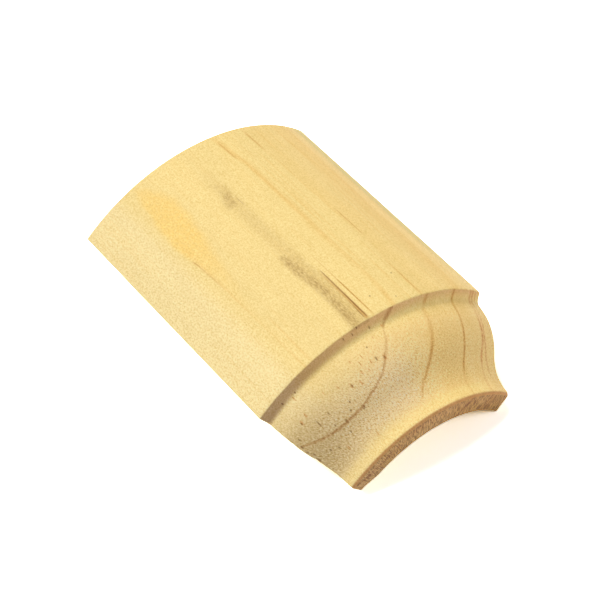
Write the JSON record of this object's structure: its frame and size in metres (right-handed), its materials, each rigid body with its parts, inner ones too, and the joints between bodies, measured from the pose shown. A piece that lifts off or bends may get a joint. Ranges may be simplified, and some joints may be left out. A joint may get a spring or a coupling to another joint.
{
  "type": "base corner block",
  "caption": "Solid wood moulding block with an ogee top that carries a baseboard round a rounded outside wall corner.",
  "frame": {"origin": "on the floor plane that the block's two back edges rest on, under the middle of its length and of its width", "axes": "+Z out of the wall corner through the crown of the face, +Y along the moulding towards its floor end, so that the moulded top edge points along -Y, and X across the block"},
  "size_m": [0.045, 0.0636, 0.0183],
  "materials": {
    "pine": "raw sanded pine"
  },
  "bodies": {
    "root": {"corner_block": "pine"}
  },
  "joints": []
}
